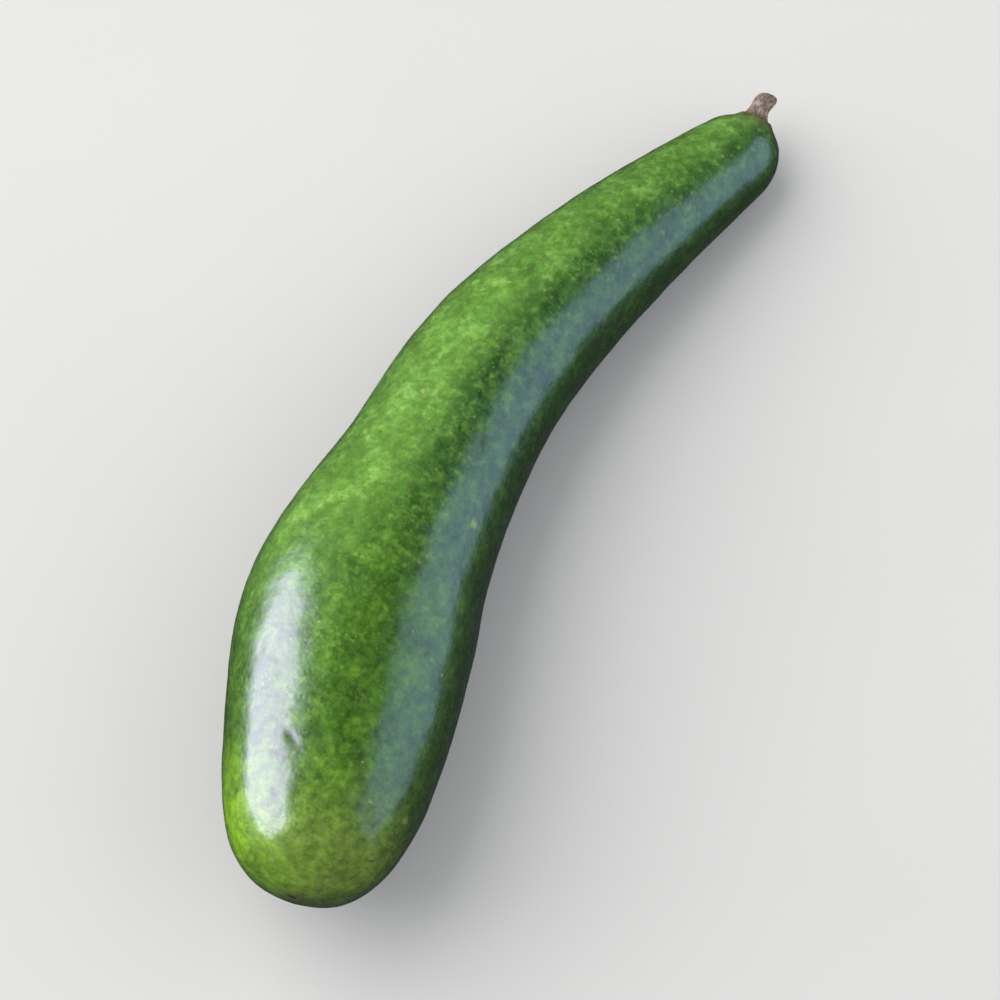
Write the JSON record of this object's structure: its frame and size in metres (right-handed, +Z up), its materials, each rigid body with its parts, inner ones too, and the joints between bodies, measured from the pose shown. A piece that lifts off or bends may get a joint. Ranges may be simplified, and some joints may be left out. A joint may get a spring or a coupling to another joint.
{
  "type": "long-necked avocado",
  "caption": "Whole long-necked avocado with a rounded bulb, a bent tapering neck and a short cut stem, lying on its side.",
  "frame": {"origin": "on the floor, under the middle of the lying fruit and its stem", "axes": "+Y from the blossom end to the stem end, +Z up from the floor, +X to the side that the bend opens towards"},
  "size_m": [0.086, 0.3158, 0.0728],
  "materials": {
    "skin": "waxy, finely pebbled green skin with paler flecks",
    "stem": "dry, dull grey-brown"
  },
  "bodies": {
    "root": {"fruit": "skin", "stem": "stem"}
  },
  "joints": []
}
